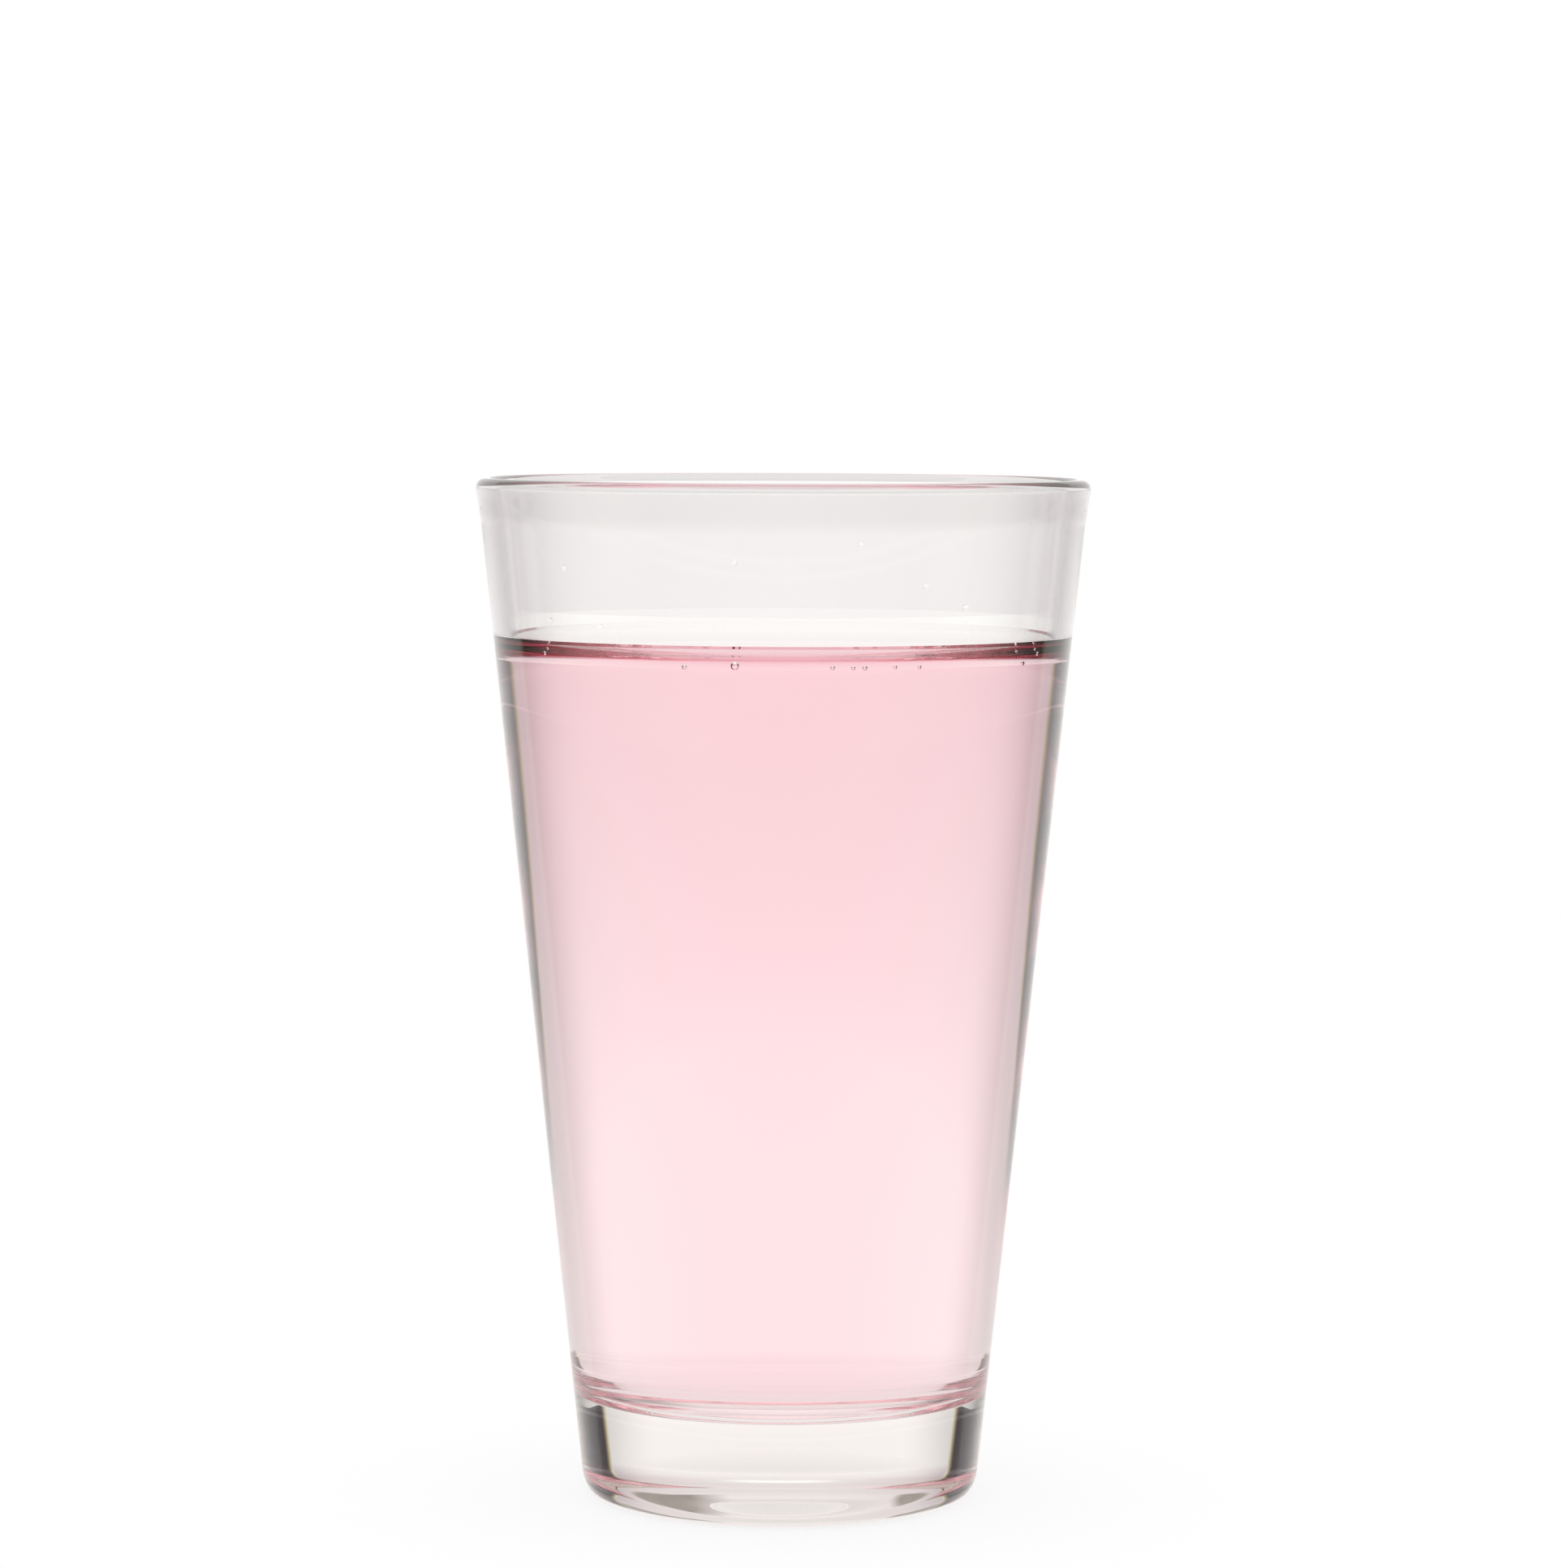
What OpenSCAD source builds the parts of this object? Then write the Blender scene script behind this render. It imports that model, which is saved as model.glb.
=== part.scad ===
// A conical drinking glass with a heavy base, holding a pale pink drink.
// Millimetres. The table plane is z = 0 and the glass stands on the z axis.

/* [Glass] */
// Height of the glass from the table to the top of its rim
height = 150; // [110:1:170]
// Outer diameter of the straight wall, carried up to the top
mouth_d = 89.8; // [76:0.1:100]
// Outer diameter of the straight wall, carried down to the table
foot_d = 57.8; // [50:0.1:70]
// Thickness of the wall, measured level
wall = 2.5; // [1.6:0.1:4]
// Thickness of the solid base under the floor's edge
base = 15; // [8:0.5:24]

/* [Rim] */
// How far the fire-polished rim stands proud of the wall outside
rim_bead = 0.25; // [0.05:0.05:0.8]
// Depth below the top at which the bead has faded into the wall
rim_fade = 7; // [2.5:0.1:10]

/* [Floor] */
// Length, along the wall and along the floor, of the round in the inner corner
floor_round = 5.5; // [1:0.1:10]
// How far the floor sags at its middle, as the plunger leaves it
floor_dish = 1.2; // [0:0.1:2]

/* [Underside] */
// Height on the wall where the heel starts to turn in
heel_h = 4; // [2:0.1:7]
// Width of the heel, from the wall's line at the table in to the bearing ring
heel_w = 3.7; // [2:0.1:6]
// How tightly the heel hugs its corner: 0.7 is a plain arc, more is tighter
heel_tight = 1.2; // [0.7:0.05:2]
// Width of the flat ring that the glass stands on
bearing_w = 1; // [0.5:0.1:5]
// Depth of the hollow inside the bearing ring
punt_h = 3.4; // [0.2:0.1:4.5]

/* [Drink] */
// Room left in the glass, from the drink's level surface up to the top of the rim
headroom = 26; // [12:1:90]
// Capillary length of the drink, which sets the scale of its meniscus
capillary = 2.7; // [1.5:0.1:3]
// Slope of the drink's edge away from plumb where it meets the wall, in degrees
edge_slope = 14; // [5:1:60]
// Width of the largest bubble at the drink's edge
bubble_d = 1.2; // [0.6:0.1:2]

/* [Splashes] */
// Width of the largest splash drop on the inner wall
drop_d = 1; // [0.5:0.1:2.5]
// How far that drop stands off the wall
drop_h = 0.4; // [0.2:0.05:0.9]

/* [Hidden] */
round_steps = 16;
edge_steps = 20;
// The meniscus is drawn out to where its height is this share of a capillary length
edge_end_share = 0.02;
// Each bubble: bearing in degrees, then height above the contact line, depth off the wall
// and width as shares of the largest bubble's width
bubble_shares = [
    [-99.6, -2.3, 0.3, 1],
    [-110, -2.5, 0.3, 0.6],
    [-80, -2.45, 0.3, 0.55],
    [-75.8, -2.5, 0.3, 0.5],
    [-73.4, -2.5, 0.3, 0.6],
    [-67, -2.45, 0.3, 0.5],
    [-61.6, -2.5, 0.3, 0.5],
    [-33, -2.5, 0.3, 0.6],
    [-27.5, -1.5, 0.3, 0.5],
    [-146, -1.5, 0.3, 0.5]
];
// Each splash drop: bearing in degrees, height above the drink's level as a share of the
// headroom, width as a share of the largest drop's
drop_shares = [
    [-137, 0.53, 1],
    [-99.3, 0.58, 0.8],
    [-75.2, 0.68, 0.75],
    [-61.4, 0.45, 0.85],
    [-51.8, 0.33, 1],
    [-128.4, 0.22, 0.7],
    [-142.6, 0.24, 0.8]
];

slope = (mouth_d - foot_d) / 2 / height;
lean = atan(slope);
rim_r = (wall + rim_bead) / 2 * cos(lean);
bearing_r = foot_d / 2 - heel_w;
punt_r = bearing_r - bearing_w;

fill_h = height - headroom;

function outer_r(z) = foot_d / 2 + slope * z;
function inner_r(z) = outer_r(z) - wall;

// A smooth turn from p to q that leaves along p-c and arrives along c-q
function turn(p, c, q, tight) = [
    for (i = [0:round_steps])
    let (t = i / round_steps, a = pow(1 - t, 2), b = 2 * tight * t * (1 - t), d = pow(t, 2))
    (a * p + b * c + d * q) / (a + b + d)
];

// A shallow bowl from the axis out to radius r: its middle at z0, its edge at z1
function bowl(r, z0, z1) = [
    for (i = [0:round_steps])
    let (t = i / round_steps)
    [r * t, z0 + (z1 - z0) * pow(t, 2)]
];

// The bead swells out of the wall smoothly and meets the round top of the rim
rim_top = height - rim_r;
rim_mid = inner_r(rim_top) + (wall + rim_bead) / 2;
bead_low = height - rim_fade;
bead_high = rim_top - rim_r * sin(lean);
bead_line = [
    for (i = [0:round_steps])
    let (t = i / round_steps, z = bead_low + (bead_high - bead_low) * t)
    [outer_r(z) + rim_bead * (3 - 2 * t) * pow(t, 2), z]
];
rim_line = [
    for (i = [1:round_steps])
    let (a = 180 * i / round_steps - lean)
    [rim_mid + rim_r * cos(a), rim_top + rim_r * sin(a)]
];

heel_line = turn(
    [bearing_r, 0], [foot_d / 2, 0], [outer_r(heel_h), heel_h], heel_tight);

corner = [inner_r(base), base];
corner_line = turn(
    corner - [floor_round, 0],
    corner,
    corner + floor_round * [sin(lean), cos(lean)],
    sin(45 + lean / 2));
floor_line = bowl(inner_r(base) - floor_round, base - floor_dish, base);

// The still edge of a liquid: how far from the wall's foot its surface is h above level
function edge_run(h) =
    let (k = 2 * capillary / h)
    capillary * (ln(k + sqrt(pow(k, 2) - 1)) - 2 * sqrt(1 - pow(1 / k, 2)));
edge_rise = capillary * sqrt(2 * (1 - sin(edge_slope)));
edge_low = capillary * edge_end_share;
contact_z = fill_h + edge_rise;
contact_r = inner_r(contact_z);
edge_line = [
    for (i = [0:edge_steps])
    let (h = edge_rise * pow(edge_low / edge_rise, i / edge_steps))
    [contact_r - (edge_run(h) - edge_run(edge_rise)), fill_h + h]
];

module tumbler() {
    color([0.86, 0.9, 0.9, 0.35])
    rotate_extrude($fn = 128)
    polygon(concat(
        bowl(punt_r, punt_h, 0),
        heel_line,
        bead_line,
        rim_line,
        [for (i = [len(corner_line) - 1:-1:0]) corner_line[i]],
        [for (i = [len(floor_line) - 2:-1:0]) floor_line[i]]));
}

// A bubble is a small round pocket in the drink, clinging to the wall
module bubble(bearing, up, off, width) {
    z = contact_z + up * bubble_d;
    rotate(bearing)
    translate([inner_r(z) - off * width * bubble_d, 0, z])
    rotate(180)
    sphere(d = width * bubble_d, $fn = 32);
}

module drink() {
    color([0.97, 0.74, 0.78, 0.75])
    difference() {
        rotate_extrude($fn = 128)
        polygon(concat(floor_line, corner_line, edge_line, [[0, fill_h]]));
        for (b = bubble_shares) bubble(b[0], b[1], b[2], b[3]);
    }
}

// A drop is the cap of a ball, seated square on the inner wall
module splash_drop(bearing, up, width) {
    z = fill_h + up * headroom;
    half = width * drop_d / 2;
    stand = width * drop_h;
    ball_r = (pow(half, 2) + pow(stand, 2)) / (2 * stand);
    rotate(bearing)
    translate([sqrt(pow(inner_r(z), 2) - pow(half, 2)), 0, z])
    rotate([0, lean - 90, 0])
    rotate_extrude($fn = 48)
    intersection() {
        translate([0, stand - ball_r])
        circle(r = ball_r, $fn = 96);
        square([ball_r, stand]);
    }
}

module splash_drops() {
    color([0.95, 0.85, 0.87, 0.6])
    for (d = drop_shares) splash_drop(d[0], d[1], d[2]);
}

tumbler();
drink();
splash_drops();
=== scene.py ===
import math

import bmesh
import bpy
from mathutils import Matrix, Vector


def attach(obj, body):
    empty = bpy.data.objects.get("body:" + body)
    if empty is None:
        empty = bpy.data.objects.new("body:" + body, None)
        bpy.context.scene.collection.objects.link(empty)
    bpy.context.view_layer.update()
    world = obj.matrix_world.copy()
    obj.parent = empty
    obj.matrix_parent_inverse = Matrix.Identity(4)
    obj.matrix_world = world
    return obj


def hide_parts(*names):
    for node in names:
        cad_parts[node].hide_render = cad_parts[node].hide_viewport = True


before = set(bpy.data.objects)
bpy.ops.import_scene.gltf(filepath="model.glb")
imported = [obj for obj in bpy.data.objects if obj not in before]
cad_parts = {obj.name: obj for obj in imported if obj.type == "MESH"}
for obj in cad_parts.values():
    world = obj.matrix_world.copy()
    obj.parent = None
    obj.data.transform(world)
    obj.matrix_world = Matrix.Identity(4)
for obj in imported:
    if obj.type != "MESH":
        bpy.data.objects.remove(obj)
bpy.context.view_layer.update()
MM = 0.001

# Sizes of the glass, in millimetres, as in the construction
HEIGHT = 150.0
MOUTH_D = 89.8
FOOT_D = 57.8
WALL = 2.5
BASE = 15.0
RIM_BEAD = 0.25
RIM_FADE = 7.0
FLOOR_ROUND = 5.5
FLOOR_DISH = 1.2
HEEL_H = 4.0
HEEL_W = 3.7
HEEL_TIGHT = 1.2
BEARING_W = 1.0
PUNT_H = 3.4

# Sizes of the drink, in millimetres
HEADROOM = 26.0
CAPILLARY = 2.7
EDGE_SLOPE = math.radians(14)
EDGE_END_SHARE = 0.02
BUBBLE_D = 1.2
# Each bubble: bearing in degrees, then height above the contact line, depth off the wall
# and width as shares of the largest bubble's width
BUBBLE_SHARES = [
    (-99.6, -2.3, 0.3, 1.0),
    (-110, -2.5, 0.3, 0.6),
    (-80, -2.45, 0.3, 0.55),
    (-75.8, -2.5, 0.3, 0.5),
    (-73.4, -2.5, 0.3, 0.6),
    (-67, -2.45, 0.3, 0.5),
    (-61.6, -2.5, 0.3, 0.5),
    (-33, -2.5, 0.3, 0.6),
    (-27.5, -1.5, 0.3, 0.5),
    (-146, -1.5, 0.3, 0.5),
]

SLOPE = (MOUTH_D - FOOT_D) / 2 / HEIGHT
LEAN = math.atan(SLOPE)
LEVEL = HEIGHT - HEADROOM
EDGE_RISE = CAPILLARY * math.sqrt(2 * (1 - math.sin(EDGE_SLOPE)))
CONTACT_Z = LEVEL + EDGE_RISE
RIM_LOW = HEIGHT - (WALL + RIM_BEAD) / 2

# How finely the meshes are made: points on a curve, faces round the axis, rounds of a bubble
ROUND_STEPS = 24
TURNS = 360
BUBBLE_ROUNDS = 3
# A difference too small to matter
HAIR = 1e-6
# The drink's side lies this far inside the glass, so that the two never share a face. Its
# floor is lifted as much at the axis, which fades out over LIFT_R, and as much again in AXIS_R
SKIN = 0.02
LIFT_R = 20.0
AXIS_R = 1.0

# How much each bends light. A splash drop is so thin that it bends it only a little
IOR_AIR = 1.0
IOR_GLASS = 1.52
IOR_DRINK = 1.333
IOR_DROP = 1.09
# What a metre of each takes out of red, green and blue light, as natural logarithms
GLASS_ABSORBS = (2.7, 3.4, 3.75)
DRINK_ABSORBS = (0.05, 4.8, 3.8)
# Painted shade on the dry glass, darker the more edge on its face is seen: from seen square on, 0, to
# seen edge on, 1
EDGE_SHADE_TINT = [
    (0.0, (0.957, 0.952, 0.96)), (0.25, (0.925, 0.918, 0.93)), (0.43, (0.935, 0.922, 0.933)),
    (0.5, (0.9, 0.887, 0.903)), (0.55, (0.845, 0.83, 0.85)), (0.6, (0.77, 0.75, 0.765)),
    (0.63, (0.67, 0.65, 0.665)), (0.7, (0.615, 0.598, 0.61)), (0.8, (0.61, 0.593, 0.607)),
    (1.0, (0.52, 0.505, 0.515))]
# The painted shade on the dry outer wall begins this high above the drink's edge, in millimetres: on the
# far side, and on the near side, there only in the middle
FAR_UNSHADED = 1.6
NEAR_UNSHADED = 4.0
NEAR_UNSHADED_ENDS = (0.75, 0.9)
# What each crossing of the rim's round top, and of the underside, leaves of the light: painted shade
RIM_PAINTED_SHADE_LEFT = 0.73
UNDERSIDE_PAINTED_SHADE_LEFT = 0.92
# Painted glow: how much it lightens the rim's round top, and the splash drops as pale highlights
RIM_PAINTED_GLOW = 0.12
DROP_PAINTED_GLOW = 0.05
WHITE = (1, 1, 1, 1)


def outer_r(z):
    return FOOT_D / 2 + SLOPE * z


def inner_r(z):
    return outer_r(z) - WALL


def turn(p, c, q, tight):
    """A smooth turn from p to q that leaves along p-c and arrives along c-q."""
    points = []
    for i in range(ROUND_STEPS + 1):
        t = i / ROUND_STEPS
        a, b, d = (1 - t) ** 2, 2 * tight * t * (1 - t), t * t
        points.append(tuple((a * p[k] + b * c[k] + d * q[k]) / (a + b + d) for k in (0, 1)))
    return points


def bowl(r, z0, z1):
    """A shallow bowl from the axis out to radius r: its middle at z0, its edge at z1."""
    steps = [i / ROUND_STEPS for i in range(ROUND_STEPS + 1)]
    return [(r * t, z0 + (z1 - z0) * t * t) for t in steps]


def floor_outline():
    """Inner floor and corner, from the axis out to the wall."""
    corner = (inner_r(BASE), BASE)
    start = (corner[0] - FLOOR_ROUND, BASE)
    end = (corner[0] + FLOOR_ROUND * math.sin(LEAN), BASE + FLOOR_ROUND * math.cos(LEAN))
    tight = math.sin(math.pi / 4 + LEAN / 2)
    return bowl(start[0], BASE - FLOOR_DISH, BASE)[:-1] + turn(start, corner, end, tight)


def rim_outline():
    """The bead, as it swells out of the wall, and the round top over to the inner wall."""
    rim_r = (WALL + RIM_BEAD) / 2 * math.cos(LEAN)
    rim_top = HEIGHT - rim_r
    rim_mid = inner_r(rim_top) + (WALL + RIM_BEAD) / 2
    low, high = HEIGHT - RIM_FADE, rim_top - rim_r * math.sin(LEAN)
    points = []
    for i in range(ROUND_STEPS + 1):
        t = i / ROUND_STEPS
        z = low + (high - low) * t
        points.append((outer_r(z) + RIM_BEAD * (3 - 2 * t) * t * t, z))
    for i in range(1, ROUND_STEPS + 1):
        a = math.pi * i / ROUND_STEPS - LEAN
        points.append((rim_mid + rim_r * math.cos(a), rim_top + rim_r * math.sin(a)))
    return points


def glass_outline():
    """Whole section: underside, heel, wall, rim, inner wall, then the floor to the axis. The
    wall has points where the painted shade begins."""
    bearing_r = FOOT_D / 2 - HEEL_W
    under = bowl(bearing_r - BEARING_W, PUNT_H, 0)
    heel = turn((bearing_r, 0), (FOOT_D / 2, 0), (outer_r(HEEL_H), HEEL_H), HEEL_TIGHT)
    washed = [(outer_r(z), z) for z in (CONTACT_Z, CONTACT_Z + FAR_UNSHADED, CONTACT_Z + NEAR_UNSHADED)]
    inside = [(inner_r(CONTACT_Z), CONTACT_Z)] + floor_outline()[::-1]
    return under + heel + washed + rim_outline() + inside


def edge_run(h):
    """How far from the wall's foot the still edge of a liquid is h above its level."""
    k = 2 * CAPILLARY / h
    return CAPILLARY * (math.acosh(k) - 2 * math.sqrt(1 - 1 / k**2))


def surface_outline():
    """The drink's free surface, from where it meets the wall in to the axis."""
    low = CAPILLARY * EDGE_END_SHARE
    points = []
    for i in range(ROUND_STEPS + 1):
        h = EDGE_RISE * (low / EDGE_RISE) ** (i / ROUND_STEPS)
        run = edge_run(h) - edge_run(EDGE_RISE)
        points.append((inner_r(CONTACT_Z) - SKIN - run, LEVEL + h))
    return points + [(0.0, LEVEL)]


def off_the_glass(r, z):
    """A point of the inner floor or wall, moved into the drink."""
    lift = SKIN * (1 - min(r, LIFT_R) / LIFT_R) + (SKIN if r < AXIS_R else 0)
    return max(r - SKIN, 0), z + lift


def lathe(bm, outline):
    """Turns an outline, given from axis to axis, into bands of faces, TURNS to a band, its
    outside to the right of the way it runs."""
    angles = [2 * math.pi * i / TURNS for i in range(TURNS)]
    rings = []
    for r, z in outline:
        if r < HAIR:
            rings.append([bm.verts.new((0, 0, z * MM))])
        else:
            places = [(r * MM * math.cos(a), r * MM * math.sin(a), z * MM) for a in angles]
            rings.append([bm.verts.new(place) for place in places])
    for a, b in zip(rings, rings[1:]):
        for i in range(TURNS):
            j = (i + 1) % TURNS
            corners = [a[i % len(a)], a[j % len(a)], b[j % len(b)], b[i % len(b)]]
            face = bm.faces.new(list(dict.fromkeys(corners)))
            face.smooth = True


def piece(name, bm, material):
    """An object of its own with that mesh and material."""
    mesh = bpy.data.meshes.new(name)
    bm.to_mesh(mesh)
    bm.free()
    mesh.materials.append(material)
    obj = bpy.data.objects.new(name, mesh)
    bpy.context.scene.collection.objects.link(obj)
    return obj


def blank(name):
    """A new material with an empty tree and its output node."""
    material = bpy.data.materials.new(name)
    material.use_nodes = True
    tree = material.node_tree
    tree.nodes.clear()
    return material, tree, tree.nodes.new("ShaderNodeOutputMaterial")


def feed(tree, socket, value):
    """Links an input to another node's output, or sets it to a value."""
    if isinstance(value, bpy.types.NodeSocket):
        tree.links.new(value, socket)
    else:
        socket.default_value = value


def add(tree, kind, **settings):
    """A new node. A setting whose name is one of its sockets, with _ for a space, feeds that
    socket, and any other is a property of the node."""
    node = tree.nodes.new("ShaderNode" + kind)
    sockets = {socket.name.replace(" ", "_"): socket for socket in reversed(node.inputs)}
    for name, value in settings.items():
        if name in sockets:
            feed(tree, sockets[name], value)
        else:
            setattr(node, name, value)
    return node


def work_out(tree, kind, operation, *values):
    """A Math or VectorMath node fed with the values in turn."""
    node = add(tree, kind, operation=operation)
    for socket, value in zip(node.inputs, values):
        feed(tree, socket, value)
    return node.outputs[0]


def add_math(tree, operation, *values):
    return work_out(tree, "Math", operation, *values)


def add_vector(tree, operation, *values):
    return work_out(tree, "VectorMath", operation, *values)


def add_mix(tree, share, first, second):
    """A shader that goes from the first to the second as the share goes from 0 to 1."""
    mix = add(tree, "MixShader", Fac=share)
    tree.links.new(first.outputs[0], mix.inputs[1])
    tree.links.new(second.outputs[0], mix.inputs[2])
    return mix


def add_ramp(tree, place, stops):
    """Reads a colour off stops of place, from 0 to 1, and colour."""
    node = add(tree, "ValToRGB", Fac=place)
    elements = node.color_ramp.elements
    while len(elements) < len(stops):
        elements.new(0.5)
    for element, (at, colour) in zip(elements, stops):
        element.position = at
    for element, (at, colour) in zip(elements, stops):
        element.color = (*colour, 1)
    return node.outputs[0]


def glass_material(name, ior, absorbs, mark, marked_ior):
    """Clear glass or water that bends light by ior, or by marked_ior on the faces whose
    attribute mark is 1."""
    material, tree, out = blank(name)
    marked = add(tree, "Attribute", attribute_name=mark)
    bend = add(tree, "MapRange", Value=marked.outputs["Fac"], To_Min=ior, To_Max=marked_ior)
    glass = add(tree, "BsdfPrincipled", Base_Color=WHITE, Roughness=0.0, Transmission_Weight=1.0,
                IOR=bend.outputs[0])
    tree.links.new(glass.outputs[0], out.inputs["Surface"])
    density = max(absorbs) * 2
    left = [1 - a / density for a in absorbs]
    volume = add(tree, "VolumeAbsorption", Color=(*left, 1), Density=density)
    tree.links.new(volume.outputs[0], out.inputs["Volume"])
    return material


def paint_shade_and_glow(material):
    """Paints shade on the glass: on the marked dry faces, darker towards the edges seen edge on,
    and all over by the share of light each face keeps; and paints a glow on the marked faces.
    One crossing shows the square root of the base colour, so what is meant is squared."""
    tree = material.node_tree
    glass = tree.nodes["Principled BSDF"]
    facing = add(tree, "LayerWeight", Blend=0.5).outputs["Facing"]
    tint = add_ramp(tree, facing, [(at, tuple(c * c for c in colour)) for at, colour in EDGE_SHADE_TINT])
    # Painted shade on the dry outer wall, darker towards its edges seen edge on
    painted_edge_shade = add(tree, "Attribute", attribute_name="painted_edge_shade").outputs["Fac"]
    edge_shaded = add(tree, "MixRGB", Fac=painted_edge_shade, Color1=WHITE, Color2=tint).outputs[0]
    # The share of light that painted shade leaves, on the rim's round top and the underside
    clear = add(tree, "Attribute", attribute_name="clear").outputs["Fac"]
    shade = add(tree, "VectorMath", operation="SCALE", Scale=add_math(tree, "MULTIPLY", clear, clear))
    feed(tree, shade.inputs[0], edge_shaded)
    feed(tree, glass.inputs["Base Color"], shade.outputs[0])
    # A painted glow on the rim's round top
    painted_glow = add(tree, "Attribute", attribute_name="painted_glow").outputs["Fac"]
    feed(tree, glass.inputs["Emission Strength"], painted_glow)


def painted_edge_shade_share(at):
    """How much painted shade a point of the outer wall gets, the point given in millimetres."""
    if at.y > 0:
        return float(at.z > CONTACT_Z + FAR_UNSHADED)
    if at.z > CONTACT_Z + NEAR_UNSHADED:
        return 1.0
    start, end = NEAR_UNSHADED_ENDS
    across = (abs(at.x) / math.hypot(at.x, at.y) - start) / (end - start)
    return min(1.0, max(0.0, across))


def mark_wet_and_painted(bm, outline):
    """Marks each face of the turned glass as wet, and with its painted shade and glow, as its material
    reads.
    """
    wet, painted_edge_shade, clear, painted_glow = [bm.faces.layers.float.new(n) for n in ("wet", "painted_edge_shade", "clear", "painted_glow")]
    top = max(range(len(outline)), key=lambda k: outline[k][1])
    for k, face in enumerate(bm.faces):
        band = k // TURNS
        start, end = outline[band][1], outline[band + 1][1]
        face[clear] = 1.0
        if min(start, end) >= RIM_LOW:
            # The rim's round top: painted shade and a painted glow
            face[clear] = RIM_PAINTED_SHADE_LEFT
            face[painted_glow] = RIM_PAINTED_GLOW
        elif band > top:
            face[wet] = float(start < CONTACT_Z + HAIR)
        elif start > end:
            # The underside: painted shade
            face[clear] = UNDERSIDE_PAINTED_SHADE_LEFT
        elif start > CONTACT_Z - HAIR:
            # The dry outer wall: painted shade, darker towards its edges
            face[painted_edge_shade] = painted_edge_shade_share(face.calc_center_median() / MM)


def make_tumbler():
    """The glass itself. Its wet faces bend light as glass against the drink does."""
    bm = bmesh.new()
    outline = glass_outline()
    lathe(bm, outline)
    mark_wet_and_painted(bm, outline)
    material = glass_material("clear_glass", IOR_GLASS, GLASS_ABSORBS, "wet", IOR_GLASS / IOR_DRINK)
    paint_shade_and_glow(material)
    obj = piece("glass_tumbler", bm, material)
    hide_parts("tumbler")
    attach(obj, "root")


def add_bubble(bm, bearing, up, off, width):
    """A round pocket of air in the drink, beside the wall."""
    z = CONTACT_Z + up * BUBBLE_D
    r = inner_r(z) - SKIN * 2 - width * BUBBLE_D / 2
    a = math.radians(bearing)
    seat = Matrix.Translation(Vector((r * math.cos(a), r * math.sin(a), z)) * MM)
    radius = width * BUBBLE_D / 2 * MM
    ball = bmesh.ops.create_icosphere(bm, subdivisions=BUBBLE_ROUNDS, radius=radius, matrix=seat)
    faces = {face for vert in ball["verts"] for face in vert.link_faces}
    bmesh.ops.reverse_faces(bm, faces=list(faces))
    for face in faces:
        face.smooth = True


def make_drink():
    """The drink. Its wet sides pass light straight on, because the glass there already bends it."""
    bm = bmesh.new()
    sides = [off_the_glass(r, z) for r, z in floor_outline()]
    lathe(bm, sides + surface_outline())
    wet_side = bm.faces.layers.float.new("wet_side")
    for k, face in enumerate(bm.faces):
        face[wet_side] = float(k // TURNS < len(sides))
    for bubble in BUBBLE_SHARES:
        add_bubble(bm, *bubble)
    material = glass_material("drink", IOR_DRINK, DRINK_ABSORBS, "wet_side", IOR_AIR)
    obj = piece("pink_drink", bm, material)
    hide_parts("drink")
    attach(obj, "root")


def dress_drops():
    """Thin clear drops with a faint painted glow for their pale highlights."""
    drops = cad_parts["splash_drops"]
    material, tree, out = blank("splash_water")
    # A faint painted glow paints the drops' pale highlights
    water = add(tree, "BsdfPrincipled", Base_Color=WHITE, Roughness=0.0, IOR=IOR_DROP,
                Transmission_Weight=1.0, Emission_Color=WHITE, Emission_Strength=DROP_PAINTED_GLOW)
    tree.links.new(water.outputs[0], out.inputs["Surface"])
    drops.data.materials.clear()
    drops.data.materials.append(material)


# The photograph's camera, worked out from the glass's outline
CAMERA_PLACE = Vector((0.18, -820.0, 164.9)) * MM
CAMERA_PITCH = math.radians(4.17)
CAMERA_ROLL = math.radians(0.21)
FOCAL_PX = 6895.0
FRAME_PX = 1932
SENSOR = 36.0
CLIP_START = 0.01
CLIP_END = 100


def make_camera():
    data = bpy.data.cameras.new("camera")
    data.sensor_width = SENSOR
    data.lens = FOCAL_PX / FRAME_PX * SENSOR
    data.clip_start = CLIP_START
    data.clip_end = CLIP_END
    cam = bpy.data.objects.new("camera", data)
    bpy.context.scene.collection.objects.link(cam)
    turned = Matrix.Rotation(math.pi / 2 - CAMERA_PITCH, 4, "X") @ Matrix.Rotation(CAMERA_ROLL, 4, "Z")
    cam.matrix_world = Matrix.Translation(CAMERA_PLACE) @ turned
    bpy.context.scene.camera = cam
    return cam


def make_world():
    """An even white light all round, which is also the white page behind the glass."""
    world = bpy.data.worlds.new("studio")
    bpy.context.scene.world = world
    world.use_nodes = True
    world.node_tree.nodes["Background"].inputs["Color"].default_value = WHITE


# The studio that shows through the glass and in it: a ball this far off, its middle this far
# in front of the camera, both in metres, lit in this tint
STUDIO_R = 10.0
STUDIO_AHEAD = 0.8
STUDIO_ROUNDS = 4
STUDIO_TINT = (1.0, 0.985, 0.965)
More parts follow.
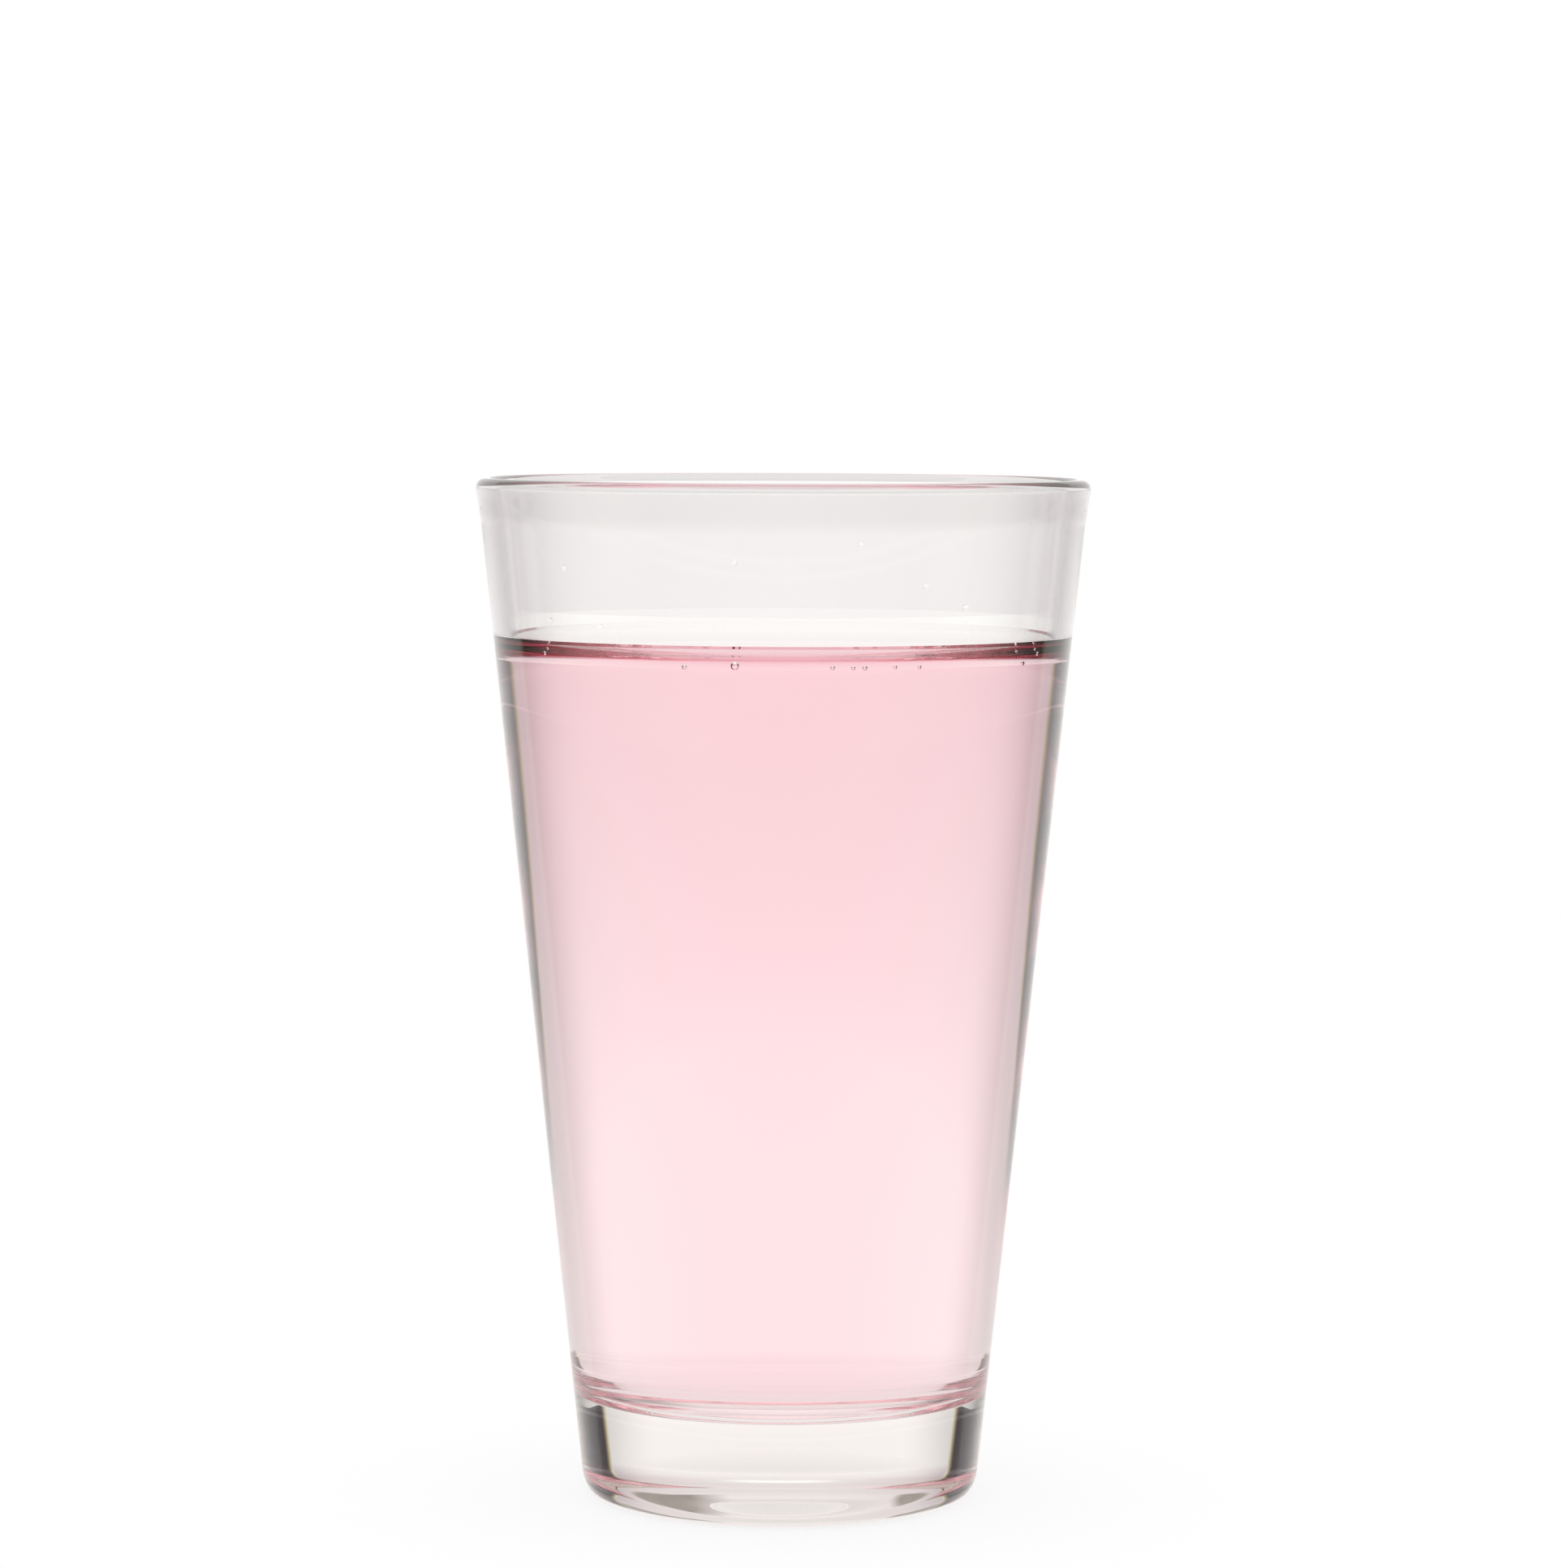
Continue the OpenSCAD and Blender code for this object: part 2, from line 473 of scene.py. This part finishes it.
# Each table gives brightness, or a share, against an angle in degrees: upward, above the
# level, or sideways from the line of sight
UPWARD_LIGHT = [
    (-90, 0.98), (-50, 1.03), (-30, 1.04), (-19, 1.06), (-12, 1.05), (-9, 1.04), (-6, 1.12),
    (-4.5, 1.15), (-2.9, 1.15), (-2.4, 1.13), (-1.9, 1.08), (-0.4, 1.05), (1.5, 1.04), (4, 0.98),
    (8, 0.92), (16, 0.94), (28, 1.06), (34, 0.9), (40, 0.85), (60, 1.3), (90, 1.1)]
# The sweep dims towards its sides, more so high up than low down
SIDEWAYS_LOW = [(0, 1.0), (27, 1.0), (30, 0.97), (35, 0.9), (42, 0.82), (50, 0.76), (180, 0.76)]
SIDEWAYS_HIGH = [
    (0, 1.0), (8, 1.0), (17, (0.97, 0.945, 0.955)), (24, (0.94, 0.895, 0.91)),
    (28, (0.92, 0.87, 0.885)), (33, (0.87, 0.81, 0.83)), (38, (0.77, 0.71, 0.735)),
    (42.5, (0.67, 0.62, 0.645)), (50, 0.6), (180, 0.6)]
UPWARD_HIGH = [(-1.5, 0), (1, 0.6), (3, 1)]
# Only near the level do the sides differ from the middle
UPWARD_SIDES = [(-30, 0), (-20, 1), (26, 1), (42, 0)]
# A brighter stretch straight behind the glass, just above the level
GLARE_UPWARD = [(1.6, 0), (2.5, 0.35), (3.6, 0.35), (5, 0)]
GLARE_SIDEWAYS = [(5, 1), (12, 0)]
# The dim room past either side of the sweep: how much of it shows, how many degrees further
# out it begins, and how bright it is
ROOM_EDGE = [(44.5, (0, 0, 0)), (45.5, (0.05, 0.08, 0.25)), (47.5, (0.6, 0.66, 0.9)), (49, (1, 1, 1))]
ROOM_UPWARD = [
    (-34, 0), (-16, 0.45), (-8, 0.8), (-4.8, 1), (-4, 0), (-0.4, 0), (0.4, 0.5), (0.9, 1), (26, 1),
    (40, 0)]
ROOM_FURTHER = [(0.4, 6), (0.9, 5), (1.7, 2.5), (2.5, 0.9), (3.5, 0.3), (5, 0)]
ROOM_LIGHT = [
    (48, (0.02, 0.015, 0.025)), (60, (0.03, 0.025, 0.035)), (68, (0.08, 0.07, 0.075)),
    (75, (0.18, 0.165, 0.15)), (83, (0.36, 0.34, 0.28)), (105, (0.38, 0.36, 0.28)), (125, 0.12),
    (180, 0.1)]
# Dim too are two patches of wall beside the top light, left and right: the shares across, from
# left to right, and upward, and how many degrees lower they reach further out
PATCH_ACROSS = [(-60, 0), (-45, 1), (-28, 1), (-25, 0), (10, 0), (19, 1), (45, 1), (60, 0)]
PATCH_UPWARD = [(21.5, 0), (23.5, 1), (32, 1), (38, 0.55), (50, 0)]
PATCH_LOWER = [(24, 0), (40, 7)]
PATCH_LIGHT = (0.4, 0.37, 0.33)
# A low dark screen either side, near the glass, in millimetres: its top, and what it shows,
# against its bearing from the middle, the edge of the lit sweep first
SCREEN_R = 70.0
SCREEN_LOW = 0.2
SCREEN_STEPS = 60
SCREEN_HIGH = [(35, 12.2), (40, 12.8), (46, 14), (55, 16)]
SCREEN_LIGHT = [
    (24.9, (0.84, 0.83, 0.81)), (25.5, (0.7, 0.65, 0.4)), (26.3, (0.28, 0.2, 0.1)),
    (27.2, (0.02, 0.01, 0.02)), (32, (0.04, 0.03, 0.04)), (37, (0.06, 0.05, 0.06)),
    (42, (0.1, 0.09, 0.1)), (48, (0.2, 0.18, 0.17)), (56, (0.36, 0.34, 0.27)),
    (85, (0.36, 0.34, 0.27))]
# The table as the glass shows it, with the glass's shadow painted on it as dimmer light,
# fading out between two distances from the axis, and how far below the glass it lies, in millimetres
TABLE_SHADOW_LIGHT = (0.985, 0.966, 0.955, 1)
TABLE_INNER = 60.0
TABLE_OUTER = 130.0
TABLE_DOWN = 0.05
# The white page under the glass, and the shadow that it keeps, in metres
FLOOR_R = 0.6
SHADOW_R = 0.09
SHADOW_SHARE = 0.2
DISC_SIDES = 96
# A ramp spans half a turn, and holds colours up to 1, so brighter light is scaled to it
HALF_TURN = 180.0
TOP_LIGHT = 2.0
ONE = (1.0, 1.0, 1.0)


def read_ramp(tree, angle, stops, start):
    """Reads light off stops of angle and light; the angle runs from start for half a turn."""
    place = add(tree, "MapRange", Value=angle, From_Min=start, From_Max=start + HALF_TURN)
    scaled = []
    for at, light in stops:
        rgb = light if isinstance(light, tuple) else (light,) * 3
        scaled.append(((at - start) / HALF_TURN, tuple(c / TOP_LIGHT for c in rgb)))
    return add_vector(tree, "MULTIPLY", add_ramp(tree, place.outputs[0], scaled), (TOP_LIGHT,) * 3)


def read_off(stops, x):
    """A value between two stops of place and value, or the end one past them."""
    for (x0, v0), (x1, v1) in zip(stops, stops[1:]):
        if x < x1:
            return v0 + (v1 - v0) * max(0, x - x0) / (x1 - x0)
    return stops[-1][1]


def only_through_glass(obj):
    """Makes an object show through the glass alone, and not as a shadow or a bounce."""
    obj.visible_camera = False
    obj.visible_diffuse = False
    obj.visible_shadow = False


def studio_light(tree):
    """The light that comes from each way of the ball: a lit sweep, glare, patches and room."""
    place = add(tree, "TexCoord").outputs["Object"]
    part = add(tree, "SeparateXYZ", Vector=add_vector(tree, "NORMALIZE", place))
    ahead = add_math(tree, "MULTIPLY", part.outputs["Z"], -1)
    bearing = add_math(tree, "DEGREES", add_math(tree, "ARCTAN2", part.outputs["X"], ahead))
    sideways = add_math(tree, "ABSOLUTE", bearing)
    upward = add_math(tree, "DEGREES", add_math(tree, "ARCSINE", part.outputs["Y"]))

    def across(stops, angle=sideways):
        return read_ramp(tree, angle, stops, 0)

    def up(stops, angle=upward):
        return read_ramp(tree, angle, stops, -90)

    def both(operation, a, b):
        return add_vector(tree, operation, a, b)

    def blend(share, a, b):
        return both("ADD", both("MULTIPLY", a, both("SUBTRACT", ONE, share)), both("MULTIPLY", b, share))

    def shift(way, stops):
        most = max(degrees for at, degrees in stops)
        share = add(tree, "SeparateXYZ", Vector=way([(at, degrees / most) for at, degrees in stops]))
        return add_math(tree, "MULTIPLY", share.outputs["X"], most)

    sides = blend(up(UPWARD_HIGH), across(SIDEWAYS_LOW), across(SIDEWAYS_HIGH))
    lit = both("MULTIPLY", up(UPWARD_LIGHT), blend(up(UPWARD_SIDES), ONE, sides))
    lit = both("ADD", lit, both("MULTIPLY", up(GLARE_UPWARD), across(GLARE_SIDEWAYS)))
    lit = both("MULTIPLY", lit, STUDIO_TINT)
    lowered = add_math(tree, "ADD", upward, shift(across, PATCH_LOWER))
    patch = both("MULTIPLY", up(PATCH_UPWARD, lowered), read_ramp(tree, bearing, PATCH_ACROSS, -90))
    lit = blend(patch, lit, PATCH_LIGHT)
    edge = across(ROOM_EDGE, add_math(tree, "SUBTRACT", sideways, shift(up, ROOM_FURTHER)))
    return blend(both("MULTIPLY", edge, up(ROOM_UPWARD)), lit, across(ROOM_LIGHT))


def make_studio(cam):
    """A lit white sweep behind the glass, a white table and top light, and a dim room at the
    sides. The glass shows it and mirrors it; it goes round with the camera, as it would
    stand still if the glass were turned."""
    material, tree, out = blank("studio")
    glow = add(tree, "Emission", Color=studio_light(tree))
    tree.links.new(glow.outputs[0], out.inputs["Surface"])
    bm = bmesh.new()
    bmesh.ops.create_icosphere(bm, subdivisions=STUDIO_ROUNDS, radius=STUDIO_R)
    obj = piece("studio", bm, material)
    obj.parent = cam
    obj.location = (0, 0, -STUDIO_AHEAD)
    obj.rotation_euler = (CAMERA_PITCH, 0, 0)
    only_through_glass(obj)


def make_screens(cam):
    """The dark screens left and right, which go round with the camera as the studio does. The
    glass shows them but doesn't mirror them."""
    material, tree, out = blank("screens")
    place = add(tree, "SeparateXYZ", Vector=add(tree, "TexCoord").outputs["Object"])
    bearing = add_math(tree, "DEGREES", add_math(tree, "ARCTAN2", place.outputs["X"], place.outputs["Y"]))
    dark = read_ramp(tree, add_math(tree, "ABSOLUTE", bearing), SCREEN_LIGHT, 0)
    glow = add(tree, "Emission", Color=dark)
    tree.links.new(glow.outputs[0], out.inputs["Surface"])
    bm = bmesh.new()
    first, last = SCREEN_LIGHT[0][0], SCREEN_LIGHT[-1][0]
    for side in (-1, 1):
        posts = []
        for i in range(SCREEN_STEPS + 1):
            a = math.radians(side * (first + (last - first) * i / SCREEN_STEPS))
            x, y = SCREEN_R * math.sin(a) * MM, SCREEN_R * math.cos(a) * MM
            top = read_off(SCREEN_HIGH, math.degrees(abs(a)))
            posts.append([bm.verts.new((x, y, z * MM)) for z in (SCREEN_LOW, top)])
        for (a, b), (c, d) in zip(posts, posts[1:]):
            bm.faces.new((a, c, d, b))
    obj = piece("screens", bm, material)
    obj.parent = cam
    obj.matrix_parent_inverse = cam.matrix_world.inverted()
    obj.visible_glossy = False
    only_through_glass(obj)


def make_disc(name, radius, material):
    bm = bmesh.new()
    bmesh.ops.create_circle(bm, cap_ends=True, segments=DISC_SIDES, radius=radius)
    return piece(name, bm, material)


def add_reach(tree):
    """How far a point of a disc is from the disc's middle."""
    reach = add(tree, "VectorMath", operation="LENGTH")
    feed(tree, reach.inputs[0], add(tree, "TexCoord").outputs["Object"])
    return reach.outputs["Value"]


def make_shaded_table():
    """The table close round the glass, dimmer as a painted shadow of the glass, fading out to nothing.
    The glass doesn't mirror it.
    """
    material, tree, out = blank("table")
    fade = add(tree, "MapRange", Value=add_reach(tree), From_Min=TABLE_INNER * MM,
               From_Max=TABLE_OUTER * MM)
    # Painted shadow of the glass on the table
    glow = add(tree, "Emission", Color=TABLE_SHADOW_LIGHT)
    mix = add_mix(tree, fade.outputs[0], glow, add(tree, "BsdfTransparent"))
    tree.links.new(mix.outputs[0], out.inputs["Surface"])
    obj = make_disc("table", TABLE_OUTER * MM, material)
    obj.location = (0, 0, -TABLE_DOWN * MM)
    obj.visible_glossy = False
    only_through_glass(obj)


def make_floor():
    """A white page that keeps the soft shadow under the glass and has no other."""
    material, tree, out = blank("floor")
    fade = add(tree, "MapRange", interpolation_type="SMOOTHSTEP", Value=add_reach(tree),
               From_Max=SHADOW_R, To_Min=1 - SHADOW_SHARE)
    paper = add(tree, "BsdfDiffuse", Color=WHITE)
    mix = add_mix(tree, fade.outputs[0], paper, add(tree, "Emission", Color=WHITE))
    tree.links.new(mix.outputs[0], out.inputs["Surface"])
    obj = make_disc("floor", FLOOR_R, material)
    obj.visible_transmission = False
    obj.visible_glossy = False


# Light goes round inside the wall beside the drink's edge, so it is followed this many times
MOST_CROSSINGS = 80
MOST_MIRRORINGS = 48

bpy.context.scene.view_settings.view_transform = "Standard"
bpy.context.scene.cycles.max_bounces = MOST_CROSSINGS
bpy.context.scene.cycles.transmission_bounces = MOST_CROSSINGS
bpy.context.scene.cycles.glossy_bounces = MOST_MIRRORINGS
make_world()
camera = make_camera()
make_studio(camera)
make_screens(camera)
make_shaded_table()
make_floor()
make_tumbler()
make_drink()
dress_drops()
